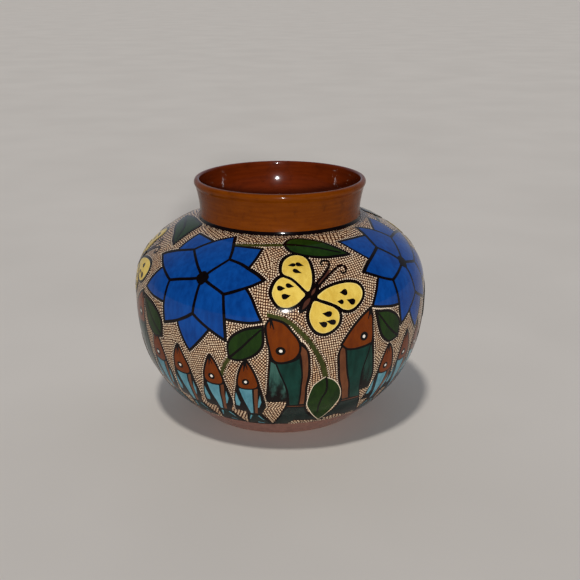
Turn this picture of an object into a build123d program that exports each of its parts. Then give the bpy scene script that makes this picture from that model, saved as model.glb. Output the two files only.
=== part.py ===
from build123d import *
from math import cos, radians, sin, tan
import os

# A round-bellied clay olla with a short flared collar, luted together from clay members.
# Millimetres, +Z up, origin at the centre of the base. Sections are drawn with x as radius and y as height.

# Heights, stacked from the ground up
BELLY_HEIGHT = 80.0  # ground to the widest ring, where the two moulded halves meet
SHOULDER_RISE = 52.6  # widest ring to the flat land that carries the collar
COLLAR_RISE = 16.2  # collar strip alone

# Outside of the body
BASE_DIAMETER = 108.4
BELLY_DIAMETER = 190.0
FOOT_FLARE_ANGLE = 45.0  # wall's lean from upright where it leaves the base
SHOULDER_LEAN_ANGLE = 66.8  # wall's lean from upright where it meets the collar
BASE_EDGE_ROUND = 1.6

# Fullness of the body's two curves, each as a share of the run that it crosses
FOOT_FULLNESS = 0.388  # of the run from the base out to the belly
LOWER_BELLY_FULLNESS = 0.636  # of the belly's height
UPPER_BELLY_FULLNESS = 0.402  # of the shoulder's rise
SHOULDER_FULLNESS = 0.896  # of the run from the belly in to the land

# Walls of the body
BODY_WALL = 5.0
FLOOR_THICKNESS = 6.0

# Collar
MOUTH_DIAMETER = 94.0  # clear opening at the collar's foot
COLLAR_WALL = 4.2
COLLAR_FLARE = 2.7  # how far the collar's top stands out from its waist
COLLAR_FOOT_SPREAD = 0.6  # how far its foot spreads over the land
COLLAR_WAIST_SHARE = 0.36  # of the collar's rise, where the flare begins
LAND_LEDGE = 0.5  # land left showing outside the collar's foot

# Rim coil
RIM_COIL_HEIGHT = 6.4  # whole coil, before it is bedded on the collar
RIM_COIL_BEDDING = 1.4  # flattened off its underside
RIM_COIL_PROUD = 0.5  # swell past the collar's wall on each side

# Joints
SLIP_THICKNESS = 0.6  # bed of luting slip, measured square to the joint
SCARF_ANGLE = 45.0  # slope of the bevelled joint between the halves
SEAM_COIL_WIDTH = 12.0
SEAM_COIL_PROUD = 2.5

# Levels and radii that follow
LAND_LEVEL = BELLY_HEIGHT + SHOULDER_RISE
COLLAR_BED = LAND_LEVEL + SLIP_THICKNESS
COLLAR_TOP = COLLAR_BED + COLLAR_RISE
RIM_BED = COLLAR_TOP + SLIP_THICKNESS
BASE_RADIUS = BASE_DIAMETER / 2
BELLY_RADIUS = BELLY_DIAMETER / 2
MOUTH_RADIUS = MOUTH_DIAMETER / 2
COLLAR_WAIST_RADIUS = MOUTH_RADIUS + COLLAR_WALL
COLLAR_FOOT_RADIUS = COLLAR_WAIST_RADIUS + COLLAR_FOOT_SPREAD
LAND_RADIUS = COLLAR_FOOT_RADIUS + LAND_LEDGE
COLLAR_TOP_INNER = MOUTH_RADIUS + COLLAR_FLARE
COLLAR_TOP_OUTER = COLLAR_TOP_INNER + COLLAR_WALL
SCARF_SLOPE = tan(radians(SCARF_ANGLE))
SCARF_SLIP_RISE = SLIP_THICKNESS / cos(radians(SCARF_ANGLE))


def body_curves(inset):
    """Lower and upper curves of the body, moved into its wall by an inset."""
    foot_angle, land_angle = radians(FOOT_FLARE_ANGLE), radians(SHOULDER_LEAN_ANGLE)
    from_base = Vector(sin(foot_angle), cos(foot_angle))
    from_land = Vector(sin(land_angle), -cos(land_angle))
    base = Vector(BASE_RADIUS, 0) + Vector(-from_base.Y, from_base.X) * inset
    land = Vector(LAND_RADIUS, LAND_LEVEL) + Vector(from_land.Y, -from_land.X) * inset
    belly = Vector(BELLY_RADIUS - inset, BELLY_HEIGHT)
    base_reach = FOOT_FULLNESS * (BELLY_RADIUS - BASE_RADIUS) / from_base.X
    land_reach = SHOULDER_FULLNESS * (BELLY_RADIUS - LAND_RADIUS) / from_land.X
    below_belly = belly - Vector(0, LOWER_BELLY_FULLNESS * BELLY_HEIGHT)
    above_belly = belly + Vector(0, UPPER_BELLY_FULLNESS * SHOULDER_RISE)
    lower = Bezier(base, base + from_base * base_reach, below_belly, belly)
    upper = Bezier(belly, above_belly, land + from_land * land_reach, land)
    return lower, upper


def body_outside():
    """Section of the body as if it were solid, with its base edge rounded."""
    lower, upper = body_curves(0)
    closing = Polyline(upper @ 1, (0, LAND_LEVEL), (0, 0), lower @ 0)
    area = make_face([lower, upper, closing])
    base_edge = area.vertices().group_by(Axis.Y)[0].sort_by(Axis.X)[-1]
    return fillet(base_edge, BASE_EDGE_ROUND)


def body_cavity():
    """Section of the space inside the body, from the floor out through the opening."""
    lower, upper = body_curves(BODY_WALL)
    heel, throat = lower @ 0, upper @ 1
    throat_rise = (throat.X - MOUTH_RADIUS) / tan(radians(SHOULDER_LEAN_ANGLE))
    closing = Polyline(
        throat,
        (MOUTH_RADIUS, throat.Y + throat_rise),
        (MOUTH_RADIUS, LAND_LEVEL),
        (0, LAND_LEVEL),
        (0, 0),
        (heel.X, 0),
        heel,
    )
    floor = Rectangle(BELLY_DIAMETER, FLOOR_THICKNESS, align=(Align.CENTER, Align.MIN))
    return make_face([lower, upper, closing]) - floor


def scarf_level(radius):
    """Height of the belly joint's lower face at a radius."""
    return BELLY_HEIGHT + (BELLY_RADIUS - radius) * SCARF_SLOPE


def below_scarf(rise):
    """Area under a face parallel to the belly joint, raised above the joint's lower face."""
    outer, inner = BELLY_RADIUS + BODY_WALL, BELLY_RADIUS - 2 * BODY_WALL
    outer_level, inner_level = scarf_level(outer) + rise, scarf_level(inner) + rise
    return make_face(
        Polyline((0, 0), (outer, 0), (outer, outer_level), (inner, inner_level), (0, inner_level), close=True)
    )


def body_sections():
    """The two moulded halves, the slip in the bevelled joint between them and the coil inside it."""
    cavity = body_cavity()
    shell = body_outside() - cavity
    lower_half, with_slip = below_scarf(0), below_scarf(SCARF_SLIP_RISE)
    inner_radius = BELLY_RADIUS - BODY_WALL
    coil_radius = (SEAM_COIL_WIDTH**2 / 4 + SEAM_COIL_PROUD**2) / (2 * SEAM_COIL_PROUD)
    coil_centre = inner_radius - SEAM_COIL_PROUD + coil_radius
    coil_level = scarf_level(inner_radius) + SCARF_SLIP_RISE / 2
    return {
        "lower_bowl": shell & lower_half,
        "shoulder_dome": shell - with_slip,
        "belly_seam_slip": (shell & with_slip) - lower_half,
        "belly_seam_coil": Pos(coil_centre, coil_level) * Circle(coil_radius) & cavity,
    }


def flat_bed(level, inner, outer):
    """Section of a flat bed of slip on a level, between two radii."""
    return Pos(inner, level) * Rectangle(outer - inner, SLIP_THICKNESS, align=(Align.MIN, Align.MIN))


def collar_section():
    """Flared collar, drawn in a little above the foot that spreads over the land."""
    waist = COLLAR_BED + COLLAR_WAIST_SHARE * COLLAR_RISE
    outside = Bezier((COLLAR_FOOT_RADIUS, COLLAR_BED), (COLLAR_WAIST_RADIUS, waist), (COLLAR_TOP_OUTER, COLLAR_TOP))
    inside = Bezier((MOUTH_RADIUS, COLLAR_BED), (MOUTH_RADIUS, waist), (COLLAR_TOP_INNER, COLLAR_TOP))
    return make_face([outside, Line(outside @ 1, inside @ 1), inside, Line(inside @ 0, outside @ 0)])


def rim_section():
    """Oval coil of the lip, flattened where it beds on the collar."""
    middle = (COLLAR_TOP_INNER + COLLAR_TOP_OUTER) / 2
    half_width, half_height = COLLAR_WALL / 2 + RIM_COIL_PROUD, RIM_COIL_HEIGHT / 2
    coil = Pos(middle, RIM_BED + half_height - RIM_COIL_BEDDING) * Ellipse(half_width, half_height)
    underside = Rectangle(2 * half_width, RIM_COIL_HEIGHT, align=(Align.CENTER, Align.MAX))
    return coil - Pos(middle, RIM_BED) * underside


def neck_sections():
    """The collar, the rim coil and the flat bed of slip under each."""
    return {
        "collar_seam_slip": flat_bed(LAND_LEVEL, MOUTH_RADIUS, COLLAR_FOOT_RADIUS),
        "neck_collar": collar_section(),
        "rim_seam_slip": flat_bed(COLLAR_TOP, COLLAR_TOP_INNER, COLLAR_TOP_OUTER),
        "rim_coil": rim_section(),
    }


os.makedirs("parts", exist_ok=True)
for node, section in (body_sections() | neck_sections()).items():
    export_step(revolve(Plane.XZ * section, Axis.Z), f"parts/{node}.step")
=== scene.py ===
"""Looks of a round-bellied clay olla: a painted body with a fine crosshatched ground, and a plain collar.

Sizes in this file are millimetres until a point is placed on the pot, where they become metres.
"""

import logging
import math
from collections.abc import Iterable, Sequence
from dataclasses import dataclass, field
from enum import Enum

import bmesh
import bpy
import numpy as np
from mathutils import Euler, Matrix, Vector, noise
from mathutils.geometry import interpolate_bezier


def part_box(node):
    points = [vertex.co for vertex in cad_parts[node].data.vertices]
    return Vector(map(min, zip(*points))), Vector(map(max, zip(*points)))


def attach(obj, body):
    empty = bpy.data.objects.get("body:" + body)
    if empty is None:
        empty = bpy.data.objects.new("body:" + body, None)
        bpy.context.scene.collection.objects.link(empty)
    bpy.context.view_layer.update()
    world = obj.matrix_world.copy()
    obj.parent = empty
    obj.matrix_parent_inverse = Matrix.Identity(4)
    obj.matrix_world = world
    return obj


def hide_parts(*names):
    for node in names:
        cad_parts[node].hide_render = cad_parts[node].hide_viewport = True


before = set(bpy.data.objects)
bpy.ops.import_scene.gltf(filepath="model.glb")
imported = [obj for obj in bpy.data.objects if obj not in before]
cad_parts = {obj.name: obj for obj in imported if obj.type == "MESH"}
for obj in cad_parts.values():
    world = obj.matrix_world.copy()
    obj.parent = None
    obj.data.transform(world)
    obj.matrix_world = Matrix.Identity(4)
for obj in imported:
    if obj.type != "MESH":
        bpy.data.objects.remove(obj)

LOG = logging.getLogger("olla")
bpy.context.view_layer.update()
MM = 0.001
FULL_TURN = 2 * math.pi
Point = tuple[float, float]
Colour = tuple[float, float, float]
Tone = tuple[int, int, int]
SHARP_EDGE = math.radians(38)
WELD = 0.002 * MM
SAME_POINT = 1e-4
SHAKE_SEED = 7
CLAY_SHEEN = 0.03
BLOTCH_SHARE = 0.4
PAINT_COAT = 0.3
PAINT_COAT_ROUGHNESS = 0.06


def linear(red: int, green: int, blue: int) -> Colour:
    """Turn a colour as seen, in steps of 255, into the linear one that a shader takes.

    Args:
        red: Red, from 0 to 255.
        green: Green, from 0 to 255.
        blue: Blue, from 0 to 255.

    Returns:
        The three linear shares.
    """
    shares = (red / 255, green / 255, blue / 255)
    return tuple(s / 12.92 if s <= 0.04045 else ((s + 0.055) / 1.055) ** 2.4 for s in shares)


def box_mm(node: str) -> tuple[Vector, Vector]:
    """Give the lowest and highest corners of a solid in millimetres."""
    low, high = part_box(node)
    return low / MM, high / MM


# Lines and outlines of the painted figures


def trace(start: Point, *runs: Sequence[Point], step: float = 1.3) -> list[Vector]:
    """Follow straight and curved runs from a start point.

    Args:
        start: Where the line begins.
        runs: Each run's end alone for a straight run, or two handles and its end for a curved one.
        step: About how far apart the points of a curved run lie.

    Returns:
        Points along the line, close together on its curves.
    """
    line = [Vector(start)]
    for run in runs:
        if len(run) == 1:
            line.append(Vector(run[0]))
            continue
        knots = [p.to_3d() for p in (line[-1], *map(Vector, run))]
        span = sum((b - a).length for a, b in zip(knots, knots[1:]))
        line += [p.to_2d() for p in interpolate_bezier(*knots, max(4, round(span / step)))[1:]]
    return line


def closed(line: list[Vector]) -> list[Vector]:
    """Drop a line's last point where it comes back to its first."""
    return line[:-1] if (line[-1] - line[0]).length < SAME_POINT else line


def smooth(points: Sequence[Point], ring: bool = False) -> list[Vector]:
    """Draw one smooth line through a few points.

    Args:
        points: The points that the line goes through, in order.
        ring: Whether the line comes back to its first point.

    Returns:
        The line's points, those of a ring without the first one again at its end.
    """
    knots = [Vector(p) for p in points]
    last = len(knots) - 1

    def knot(i: int) -> Vector:
        """Give a knot by number, past the ends too."""
        return knots[i % len(knots)] if ring else knots[min(max(i, 0), last)]

    runs = []
    for i in range(len(knots) if ring else last):
        leave = knot(i) + (knot(i + 1) - knot(i - 1)) / 6
        arrive = knot(i + 1) - (knot(i + 2) - knot(i)) / 6
        runs.append((leave, arrive, knot(i + 1)))
    line = trace(points[0], *runs)
    return closed(line) if ring else line


def join(*lines: Sequence[Point]) -> list[Vector]:
    """Join smooth lines at corners into one closed outline.

    Args:
        lines: The points of each line, in order round the outline.

    Returns:
        The outline's points.
    """
    outline: list[Vector] = []
    for points in lines:
        line = smooth(points)
        outline += line[1:] if outline and (line[0] - outline[-1]).length < SAME_POINT else line
    return closed(outline)


def oval(centre: Point, width: float, height: float, sides: int = 14) -> list[Vector]:
    """Give an oval outline about a centre."""
    turns = (FULL_TURN * k / sides for k in range(sides))
    return [Vector(centre) + Vector((width * math.cos(t), height * math.sin(t))) / 2 for t in turns]


def teardrop(centre: Point, length: float, width: float, bearing: float) -> list[Vector]:
    """Draw a drop whose point looks along a bearing.

    Args:
        centre: Middle of the drop.
        length: Size along the bearing.
        width: Size across it.
        bearing: Direction of the point, in degrees from the sketch's right.

    Returns:
        The drop's outline.
    """
    half, side = length / 2, width / 2
    outline = trace(
        (half, 0),
        ((half * 0.3, side * 0.45), (0, side), (-half * 0.35, side)),
        ((-half * 0.9, side), (-half, side * 0.5), (-half, 0)),
        ((-half, -side * 0.5), (-half * 0.9, -side), (-half * 0.35, -side)),
        ((0, -side), (half * 0.3, -side * 0.45), (half, 0)),
    )
    turn = Matrix.Rotation(math.radians(bearing), 2)
    return [Vector(centre) + turn @ p for p in closed(outline)]


def grow(outline: Sequence[Vector], distance: float) -> list[Vector]:
    """Move a closed outline outwards, or inwards where the distance is below zero.

    Args:
        outline: The outline's points.
        distance: How far its edges move.

    Returns:
        The moved outline, with long points cut a little short.
    """
    ring = list(outline)
    before = ring[-1:] + ring[:-1]
    after = ring[1:] + ring[:1]
    turning = sum(a.x * b.y - a.y * b.x for a, b in zip(ring, after))
    bluntest = 0.42
    moved = []
    for last, here, following in zip(before, ring, after):
        arrive, leave = (here - last).normalized(), (following - here).normalized()
        side = Vector((arrive.y + leave.y, -arrive.x - leave.x))
        side = side.normalized() if side.length > 1e-6 else Vector((arrive.y, -arrive.x))
        reach = 1 / max(bluntest, side.dot(Vector((arrive.y, -arrive.x))))
        moved.append(here + side * math.copysign(distance * reach, distance * turning))
    return moved


def rails(
    line: Sequence[Vector], width: float, end_width: float | None = None
) -> list[tuple[Vector, Vector]]:
    """Give the two edges of a brush stroke from the line that it follows.

    Args:
        line: Points along the middle of the stroke.
        width: Width at its start.
        end_width: Width at its end, where that differs.

    Returns:
        The left and right edge points beside each point of the line.
    """
    end_width = width if end_width is None else end_width
    edges = []
    for i, here in enumerate(line):
        along = (line[min(i + 1, len(line) - 1)] - line[max(i - 1, 0)]).normalized()
        half = (width + (end_width - width) * i / (len(line) - 1)) / 2
        side = Vector((-along.y, along.x)) * half
        edges.append((here + side, here - side))
    return edges


def beside(line: Sequence[Vector], distance: float) -> list[Vector]:
    """Give the line at a distance to the left of a line, or to its right where that is below zero."""
    return [edge[0] for edge in rails(line, 2 * distance)]


def spaced(line: Sequence[Vector], step: float) -> list[tuple[Vector, Vector]]:
    """Step along a line at an even pace.

    Args:
        line: Points along the line.
        step: Distance from one stop to the next.

    Returns:
        Each stop and the direction of the line there.
    """
    stops, carried = [], step / 2
    for a, b in zip(line, line[1:]):
        run = (b - a).length
        while carried < run:
            stops.append((a.lerp(b, carried / run), (b - a).normalized()))
            carried += step
        carried -= run
    return stops


# The pot's wall


@dataclass
class Wall:
    """The pot's wall, whose outside is measured along its curve from the edge of the base."""

    belly_radius: float
    belly_height: float
    land_radius: float
    land_level: float
    base_radius: float = 54.2
    mouth_radius: float = 47.0
    foot_flare: float = 45.0
    shoulder_lean: float = 66.8
    foot_fullness: float = 0.388
    lower_belly_fullness: float = 0.636
    upper_belly_fullness: float = 0.402
    shoulder_fullness: float = 0.896
    thickness: float = 5.0
    floor: float = 6.0
    base_round: float = 1.6
    sag: float = 2.4
    sag_reach: float = 14.0
    samples: int = 400
    lengths: np.ndarray = field(init=False)
    points: np.ndarray = field(init=False)
    normals: np.ndarray = field(init=False)

    def __post_init__(self) -> None:
        """Measure the outside curve, with its direction outwards at each point."""
        lower, upper = self.curves(0, self.samples)
        self.points = np.array(lower + upper[1:])
        steps = np.diff(self.points, axis=0)
        self.lengths = np.concatenate([[0], np.cumsum(np.hypot(*steps.T))])
        along = np.gradient(self.points, self.lengths, axis=0)
        self.normals = np.stack([along[:, 1], -along[:, 0]], axis=1)

    @classmethod
    def from_frame(cls) -> "Wall":
        """Take the wall's heights and radii from the solids."""
        ledge = 0.5
        belly = box_mm("lower_bowl")[1].x
        seam = box_mm("belly_seam_slip")[0].z
        bed_low, bed_high = box_mm("collar_seam_slip")
        return cls(belly, seam, bed_high.x + ledge, bed_low.z)

    def curves(self, inset: float, count: int) -> tuple[list[Point], list[Point]]:
        """Give the wall's lower and upper curves, moved into it.

        Args:
            inset: How far inside the outside.
            count: Points on each curve.

        Returns:
            The curve from base to belly and the curve from belly to collar, as radius and height.
        """
        foot, lean = math.radians(self.foot_flare), math.radians(self.shoulder_lean)
        from_base = Vector((math.sin(foot), math.cos(foot)))
        from_land = Vector((math.sin(lean), -math.cos(lean)))
        base = Vector((self.base_radius, 0)) + Vector((-from_base.y, from_base.x)) * inset
        land = Vector((self.land_radius, self.land_level)) + Vector((from_land.y, -from_land.x)) * inset
        belly = Vector((self.belly_radius - inset, self.belly_height))
        base_reach = self.foot_fullness * (self.belly_radius - self.base_radius) / from_base.x
        land_reach = self.shoulder_fullness * (self.belly_radius - self.land_radius) / from_land.x
        below = belly - Vector((0, self.lower_belly_fullness * self.belly_height))
        above = belly + Vector((0, self.upper_belly_fullness * (self.land_level - self.belly_height)))
        lower = (base, base + from_base * base_reach, below, belly)
        upper = (belly, above, land + from_land * land_reach, land)
        low, high = (interpolate_bezier(*(k.to_3d() for k in knots), count) for knots in (lower, upper))
        return [(p.x, p.y) for p in low], [self.settled(p.x, p.y) for p in high]

    def settled(self, radius: float, height: float) -> Point:
        """Lower a point of the shoulder that lies near the collar, where the shoulder runs flatter."""
        near = 1 - (radius - self.land_radius) / self.sag_reach
        return radius, height - self.sag * min(max(near, 0.0), 1.0) ** 2

    def radius(self, length: float) -> float:
        """Give the outside radius at a length up the wall."""
        return float(np.interp(length, self.lengths, self.points[:, 0]))

    def length_at(self, height: float) -> float:
        """Give the length up the wall at a height."""
        return float(np.interp(height, self.points[:, 1], self.lengths))

    def place(self, bearing: float, length: float, lift: float) -> tuple[Vector, Vector]:
        """Put a point on the wall, or over it.

        Args:
            bearing: Turn from the front to the right, in radians.
            length: Length up the wall from the base's edge.
            lift: Distance out of the wall.

        Returns:
            The point in metres and the direction outwards there.
        """
        radius, height, out, up = (
            float(np.interp(length, self.lengths, values)) for values in (*self.points.T, *self.normals.T)
        )
        aside, ahead = math.sin(bearing), -math.cos(bearing)
        reach = radius + out * lift
        point = Vector((reach * aside, reach * ahead, height + up * lift)) * MM
        return point, Vector((out * aside, out * ahead, up)).normalized()


# Node sheets


class Sheet:
    """A node tree being filled, with short calls for what the finishes use most."""

    def __init__(self, tree: bpy.types.NodeTree) -> None:
        """Start from a tree's nodes and links."""
        self.tree = tree

    def add(self, kind: str, feeds: dict | None = None, **settings) -> bpy.types.Node:
        """Add a node.

        Args:
            kind: The node's type.
            feeds: Input names or numbers, each with a value or a socket to link.
            settings: The node's own properties.

        Returns:
            The new node.
        """
        node = self.tree.nodes.new(kind)
        for name, value in settings.items():
            setattr(node, name, value)
        for name, value in (feeds or {}).items():
            if isinstance(value, bpy.types.NodeSocket):
                self.tree.links.new(value, node.inputs[name])
            else:
                node.inputs[name].default_value = value
        return node

    def math(self, operation: str, *values, clamp: bool = False) -> bpy.types.NodeSocket:
        """Work on numbers and give the result's socket."""
        feeds = dict(enumerate(values))
        return self.add("ShaderNodeMath", feeds, operation=operation, use_clamp=clamp).outputs[0]

    def vector(self, operation: str, *values) -> bpy.types.Node:
        """Work on vectors and give the node."""
        return self.add("ShaderNodeVectorMath", dict(enumerate(values)), operation=operation)

    def ramp(self, value, low: float, high: float) -> bpy.types.NodeSocket:
        """Rise smoothly from 0 to 1 as a value goes from low to high."""
        feeds = {"Value": value, "From Min": low, "From Max": high}
        return self.add("ShaderNodeMapRange", feeds, interpolation_type="SMOOTHSTEP").outputs[0]

    def spread(self, value, low: float, high: float) -> bpy.types.NodeSocket:
        """Stretch a value from 0 to 1 over low to high."""
        return self.add("ShaderNodeMapRange", {"Value": value, "To Min": low, "To Max": high}).outputs[0]

    def blend(self, share, first, second) -> bpy.types.NodeSocket:
        """Mix two colours by a share.

        Args:
            share: A value or socket, 0 for the first colour and 1 for the second.
            first: A colour or a socket.
            second: A colour or a socket.

        Returns:
            The mixed colour's socket.
        """
        first, second = (
            c if isinstance(c, bpy.types.NodeSocket) else (*c, 1.0) for c in (first, second)
        )
        node = self.add("ShaderNodeMix", {0: share, 6: first, 7: second}, data_type="RGBA")
        return node.outputs[2]

    def weigh(self, first, second, share: float) -> bpy.types.NodeSocket:
        """Add two values, the second by a share and the first by the rest."""
        return self.math(
            "ADD", self.math("MULTIPLY", first, 1 - share), self.math("MULTIPLY", second, share)
        )

    def swing(self, value, reach: float) -> bpy.types.NodeSocket:
        """Turn a value from 0 to 1 into one that goes to both sides of 0."""
        return self.math("MULTIPLY", self.math("SUBTRACT", value, 0.5), reach)

    def height(self, point) -> bpy.types.NodeSocket:
        """Give a point's height."""
        return self.add("ShaderNodeSeparateXYZ", {0: point}).outputs[2]

    def use(self, group: str, **feeds) -> bpy.types.bpy_prop_collection:
        """Add a shared group with its inputs, and give its outputs."""
        return self.add("ShaderNodeGroup", feeds, node_tree=Group.made[group]).outputs

    def object_point(self) -> bpy.types.NodeSocket:
        """Give the surface point in millimetres."""
        point = self.add("ShaderNodeTexCoord").outputs["Object"]
        node = self.vector("SCALE", point)
        node.inputs["Scale"].default_value = 1 / MM
        return node.outputs[0]

    def noise(self, point, size, detail: float = 3.0, roughness: float = 0.5) -> bpy.types.NodeSocket:
        """Give noise whose lumps have a size in millimetres, as a number or a socket."""
        scale = self.math("DIVIDE", 1.0, size) if isinstance(size, bpy.types.NodeSocket) else 1 / size
        feeds = {"Vector": point, "Scale": scale, "Detail": detail, "Roughness": roughness}
        return self.add("ShaderNodeTexNoise", feeds).outputs[0]


class Group(Sheet):
    """A shader node group that finishes share."""

    made: dict[str, bpy.types.NodeTree] = {}

    def __init__(self, name: str, outputs: Iterable[tuple[str, str]]) -> None:
        """Make an empty group.

        Args:
            name: The group's name.
            outputs: Each output's name and socket type.
        """
        super().__init__(bpy.data.node_groups.new(name, "ShaderNodeTree"))
        for label, kind in outputs:
            self.tree.interface.new_socket(name=label, in_out="OUTPUT", socket_type=kind)
        self.out = self.tree.nodes.new("NodeGroupOutput")
        Group.made[name] = self.tree

    def takes(self, **values: float) -> dict[str, bpy.types.NodeSocket]:
        """Give the group number inputs with their usual values, and hand back their sockets."""
        for label, value in values.items():
            socket = self.tree.interface.new_socket(
                name=label, in_out="INPUT", socket_type="NodeSocketFloat"
            )
            socket.default_value = value
        inside = self.tree.nodes.new("NodeGroupInput")
        return {label: inside.outputs[label] for label in values}

    def gives(self, **sockets: bpy.types.NodeSocket) -> None:
        """Link the group's outputs."""
        for label, socket in sockets.items():
            self.tree.links.new(socket, self.out.inputs[label])


def make_brushwork() -> None:
    """Uneven strokes of a wet brush: long soft streaks over blotches."""
    group = Group("brushwork", [("Streak", "NodeSocketFloat"), ("Blotch", "NodeSocketFloat")])
    sizes = group.takes(Blotches=16.0)
    streak_size, streak_squeeze, contrast = 3.0, (1.0, 1.0, 0.28), (0.3, 0.7)
    point = group.object_point()
    stretch = group.vector("MULTIPLY", point, streak_squeeze).outputs[0]
    streak = group.noise(stretch, streak_size, 4.0, 0.6)
    blotch = group.noise(point, sizes["Blotches"], 2.0)
    group.gives(Streak=group.ramp(streak, *contrast), Blotch=group.ramp(blotch, *contrast))


def make_varnish_swell() -> None:
    """Slow swell of a hand-formed wall under varnish, with fine pits, as a height."""
    group = Group("varnish_swell", [("Height", "NodeSocketFloat"), ("Dull", "NodeSocketFloat")])
    sizes = group.takes(Pits=0.06)
    swell_size, ripple_size, pit_size, dull_size = 22.0, 5.0, 0.7, 9.0
    ripple_share, pit_share = 0.10, 0.2
    point = group.object_point()
    swell = group.noise(point, swell_size, 1.0)
    ripple = group.noise(point, ripple_size, 2.0)
    pits = group.noise(point, pit_size, 2.0)
    height = group.math("ADD", swell, group.math("MULTIPLY", ripple, ripple_share))
    depth = group.math("MULTIPLY", sizes["Pits"], pit_share)
    height = group.math("ADD", height, group.math("MULTIPLY", pits, depth))
    group.gives(Height=height, Dull=group.ramp(group.noise(point, dull_size), 0.35, 0.75))


def make_petatillo() -> None:
    """Mat-like crosshatch: patches of small cells between fine brush lines, each patch with its own slant."""
    group = Group("petatillo", [("Cell", "NodeSocketFloat"), ("Tint", "NodeSocketFloat")])
    pitch, patch, edge_wander, shake_size, shake_reach = 1.35, 27.0, 9.0, 2.6, 0.7
    row_line, column_line, column_pitches = (0.23, 0.32), (0.24, 0.33), (0.95, 1.25)
    brick_step, least_reach = 0.13, 20.0
    point = group.object_point()
    feeds = {"Vector": point, "Scale": 1 / edge_wander, "Detail": 1.0}
    drift = group.add("ShaderNodeTexNoise", feeds).outputs[1]
    wander = group.vector("SCALE", group.vector("SUBTRACT", drift, (0.5, 0.5, 0.5)).outputs[0])
    wander.inputs["Scale"].default_value = edge_wander
    moved = group.vector("ADD", point, wander.outputs[0]).outputs[0]
    region = group.add(
        "ShaderNodeTexVoronoi",
        {"Vector": moved, "Scale": 1 / patch, "Randomness": 0.9},
        voronoi_dimensions="3D",
        feature="F1",
    )
    offset = group.vector("SUBTRACT", point, region.outputs["Position"]).outputs[0]
    normal = group.add("ShaderNodeTexCoord").outputs["Normal"]
    level = group.vector("CROSS_PRODUCT", (0.0, 0.0, 1.0), normal).outputs[0]
    level = group.vector("NORMALIZE", level).outputs[0]
    reaches = [
        group.vector("LENGTH", group.vector("MULTIPLY", spot, (1.0, 1.0, 0.0)).outputs[0]).outputs["Value"]
        for spot in (point, region.outputs["Position"])
    ]
    widen = group.math("DIVIDE", reaches[0], group.math("MAXIMUM", reaches[1], least_reach))
    size, along = (
        group.add("ShaderNodeAttribute", attribute_name=name).outputs["Fac"]
        for name in ("hatch_size", "hatch_rows")
    )
    across = group.math("MULTIPLY", group.vector("DOT_PRODUCT", offset, level).outputs["Value"], widen)
    across = group.math("DIVIDE", across, size)
    draws = group.add("ShaderNodeSeparateColor", {0: region.outputs["Color"]})
    slant = group.math("MULTIPLY", draws.outputs[0], math.pi)
    cosine, sine = group.math("COSINE", slant), group.math("SINE", slant)
    shake = group.swing(group.noise(point, shake_size, 2.0), shake_reach)
    first = group.math("ADD", group.math("MULTIPLY", across, cosine), group.math("MULTIPLY", along, sine))
    second = group.math(
        "SUBTRACT", group.math("MULTIPLY", along, cosine), group.math("MULTIPLY", across, sine)
    )
    first = group.math("DIVIDE", group.math("ADD", first, shake), pitch)
    column_pitch = group.math("MULTIPLY", pitch, group.spread(draws.outputs[1], *column_pitches))
    second = group.math("DIVIDE", group.math("ADD", second, shake), column_pitch)
    first = group.math("ADD", first, group.math("MULTIPLY", group.math("FLOOR", second), brick_step))
    insides = []
    for count, edge in ((first, row_line), (second, column_line)):
        middle = group.math("ABSOLUTE", group.math("SUBTRACT", group.math("FRACT", count), 0.5))
        insides.append(group.math("SUBTRACT", 1.0, group.ramp(middle, *edge)))
    cell = group.math("MULTIPLY", *insides)
    corner = group.add(
        "ShaderNodeCombineXYZ",
        {0: group.math("FLOOR", first), 1: group.math("FLOOR", second), 2: draws.outputs[2]},
    )
    tint = group.add("ShaderNodeTexWhiteNoise", {"Vector": corner.outputs[0]}, noise_dimensions="3D")
    group.gives(Cell=cell, Tint=tint.outputs["Value"])


# Finishes


def fresh_material(name: str) -> tuple[bpy.types.Material, Sheet, bpy.types.Node]:
    """Start a node material.

    Args:
        name: The material's name.

    Returns:
        The material, its sheet and its shader node.
    """
    material = bpy.data.materials.new(name)
    material.use_nodes = True
    sheet = Sheet(material.node_tree)
    shader = next(n for n in material.node_tree.nodes if n.type == "BSDF_PRINCIPLED")
    return material, sheet, shader


def set_shader(sheet: Sheet, shader: bpy.types.Node, **feeds) -> None:
    """Give a shader its values and links, with the spaces of its socket names as low lines."""
    for label, value in feeds.items():
        socket = shader.inputs[label.replace("_", " ")]
        if isinstance(value, bpy.types.NodeSocket):
            sheet.tree.links.new(value, socket)
        else:
            socket.default_value = value


def varnished(sheet: Sheet, shader: bpy.types.Node, gloss: float, swell: float, pits: float = 0.06) -> None:
    """Give a shader a hand-brushed varnish.

    Args:
        sheet: The material's sheet.
        shader: Its shader node.
        gloss: Roughness where the varnish is at its best.
        swell: Height of the wall's slow unevenness, in millimetres.
        pits: Depth of the fine pits, as a share of it.
    """
    dullest = gloss + 0.10
    skin = sheet.use("varnish_swell", Pits=pits)
    bump = sheet.add("ShaderNodeBump", {"Height": skin["Height"], "Distance": swell * MM})
    rough = sheet.spread(skin["Dull"], gloss, dullest)
    set_shader(sheet, shader, Roughness=rough, Normal=bump.outputs[0])


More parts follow.
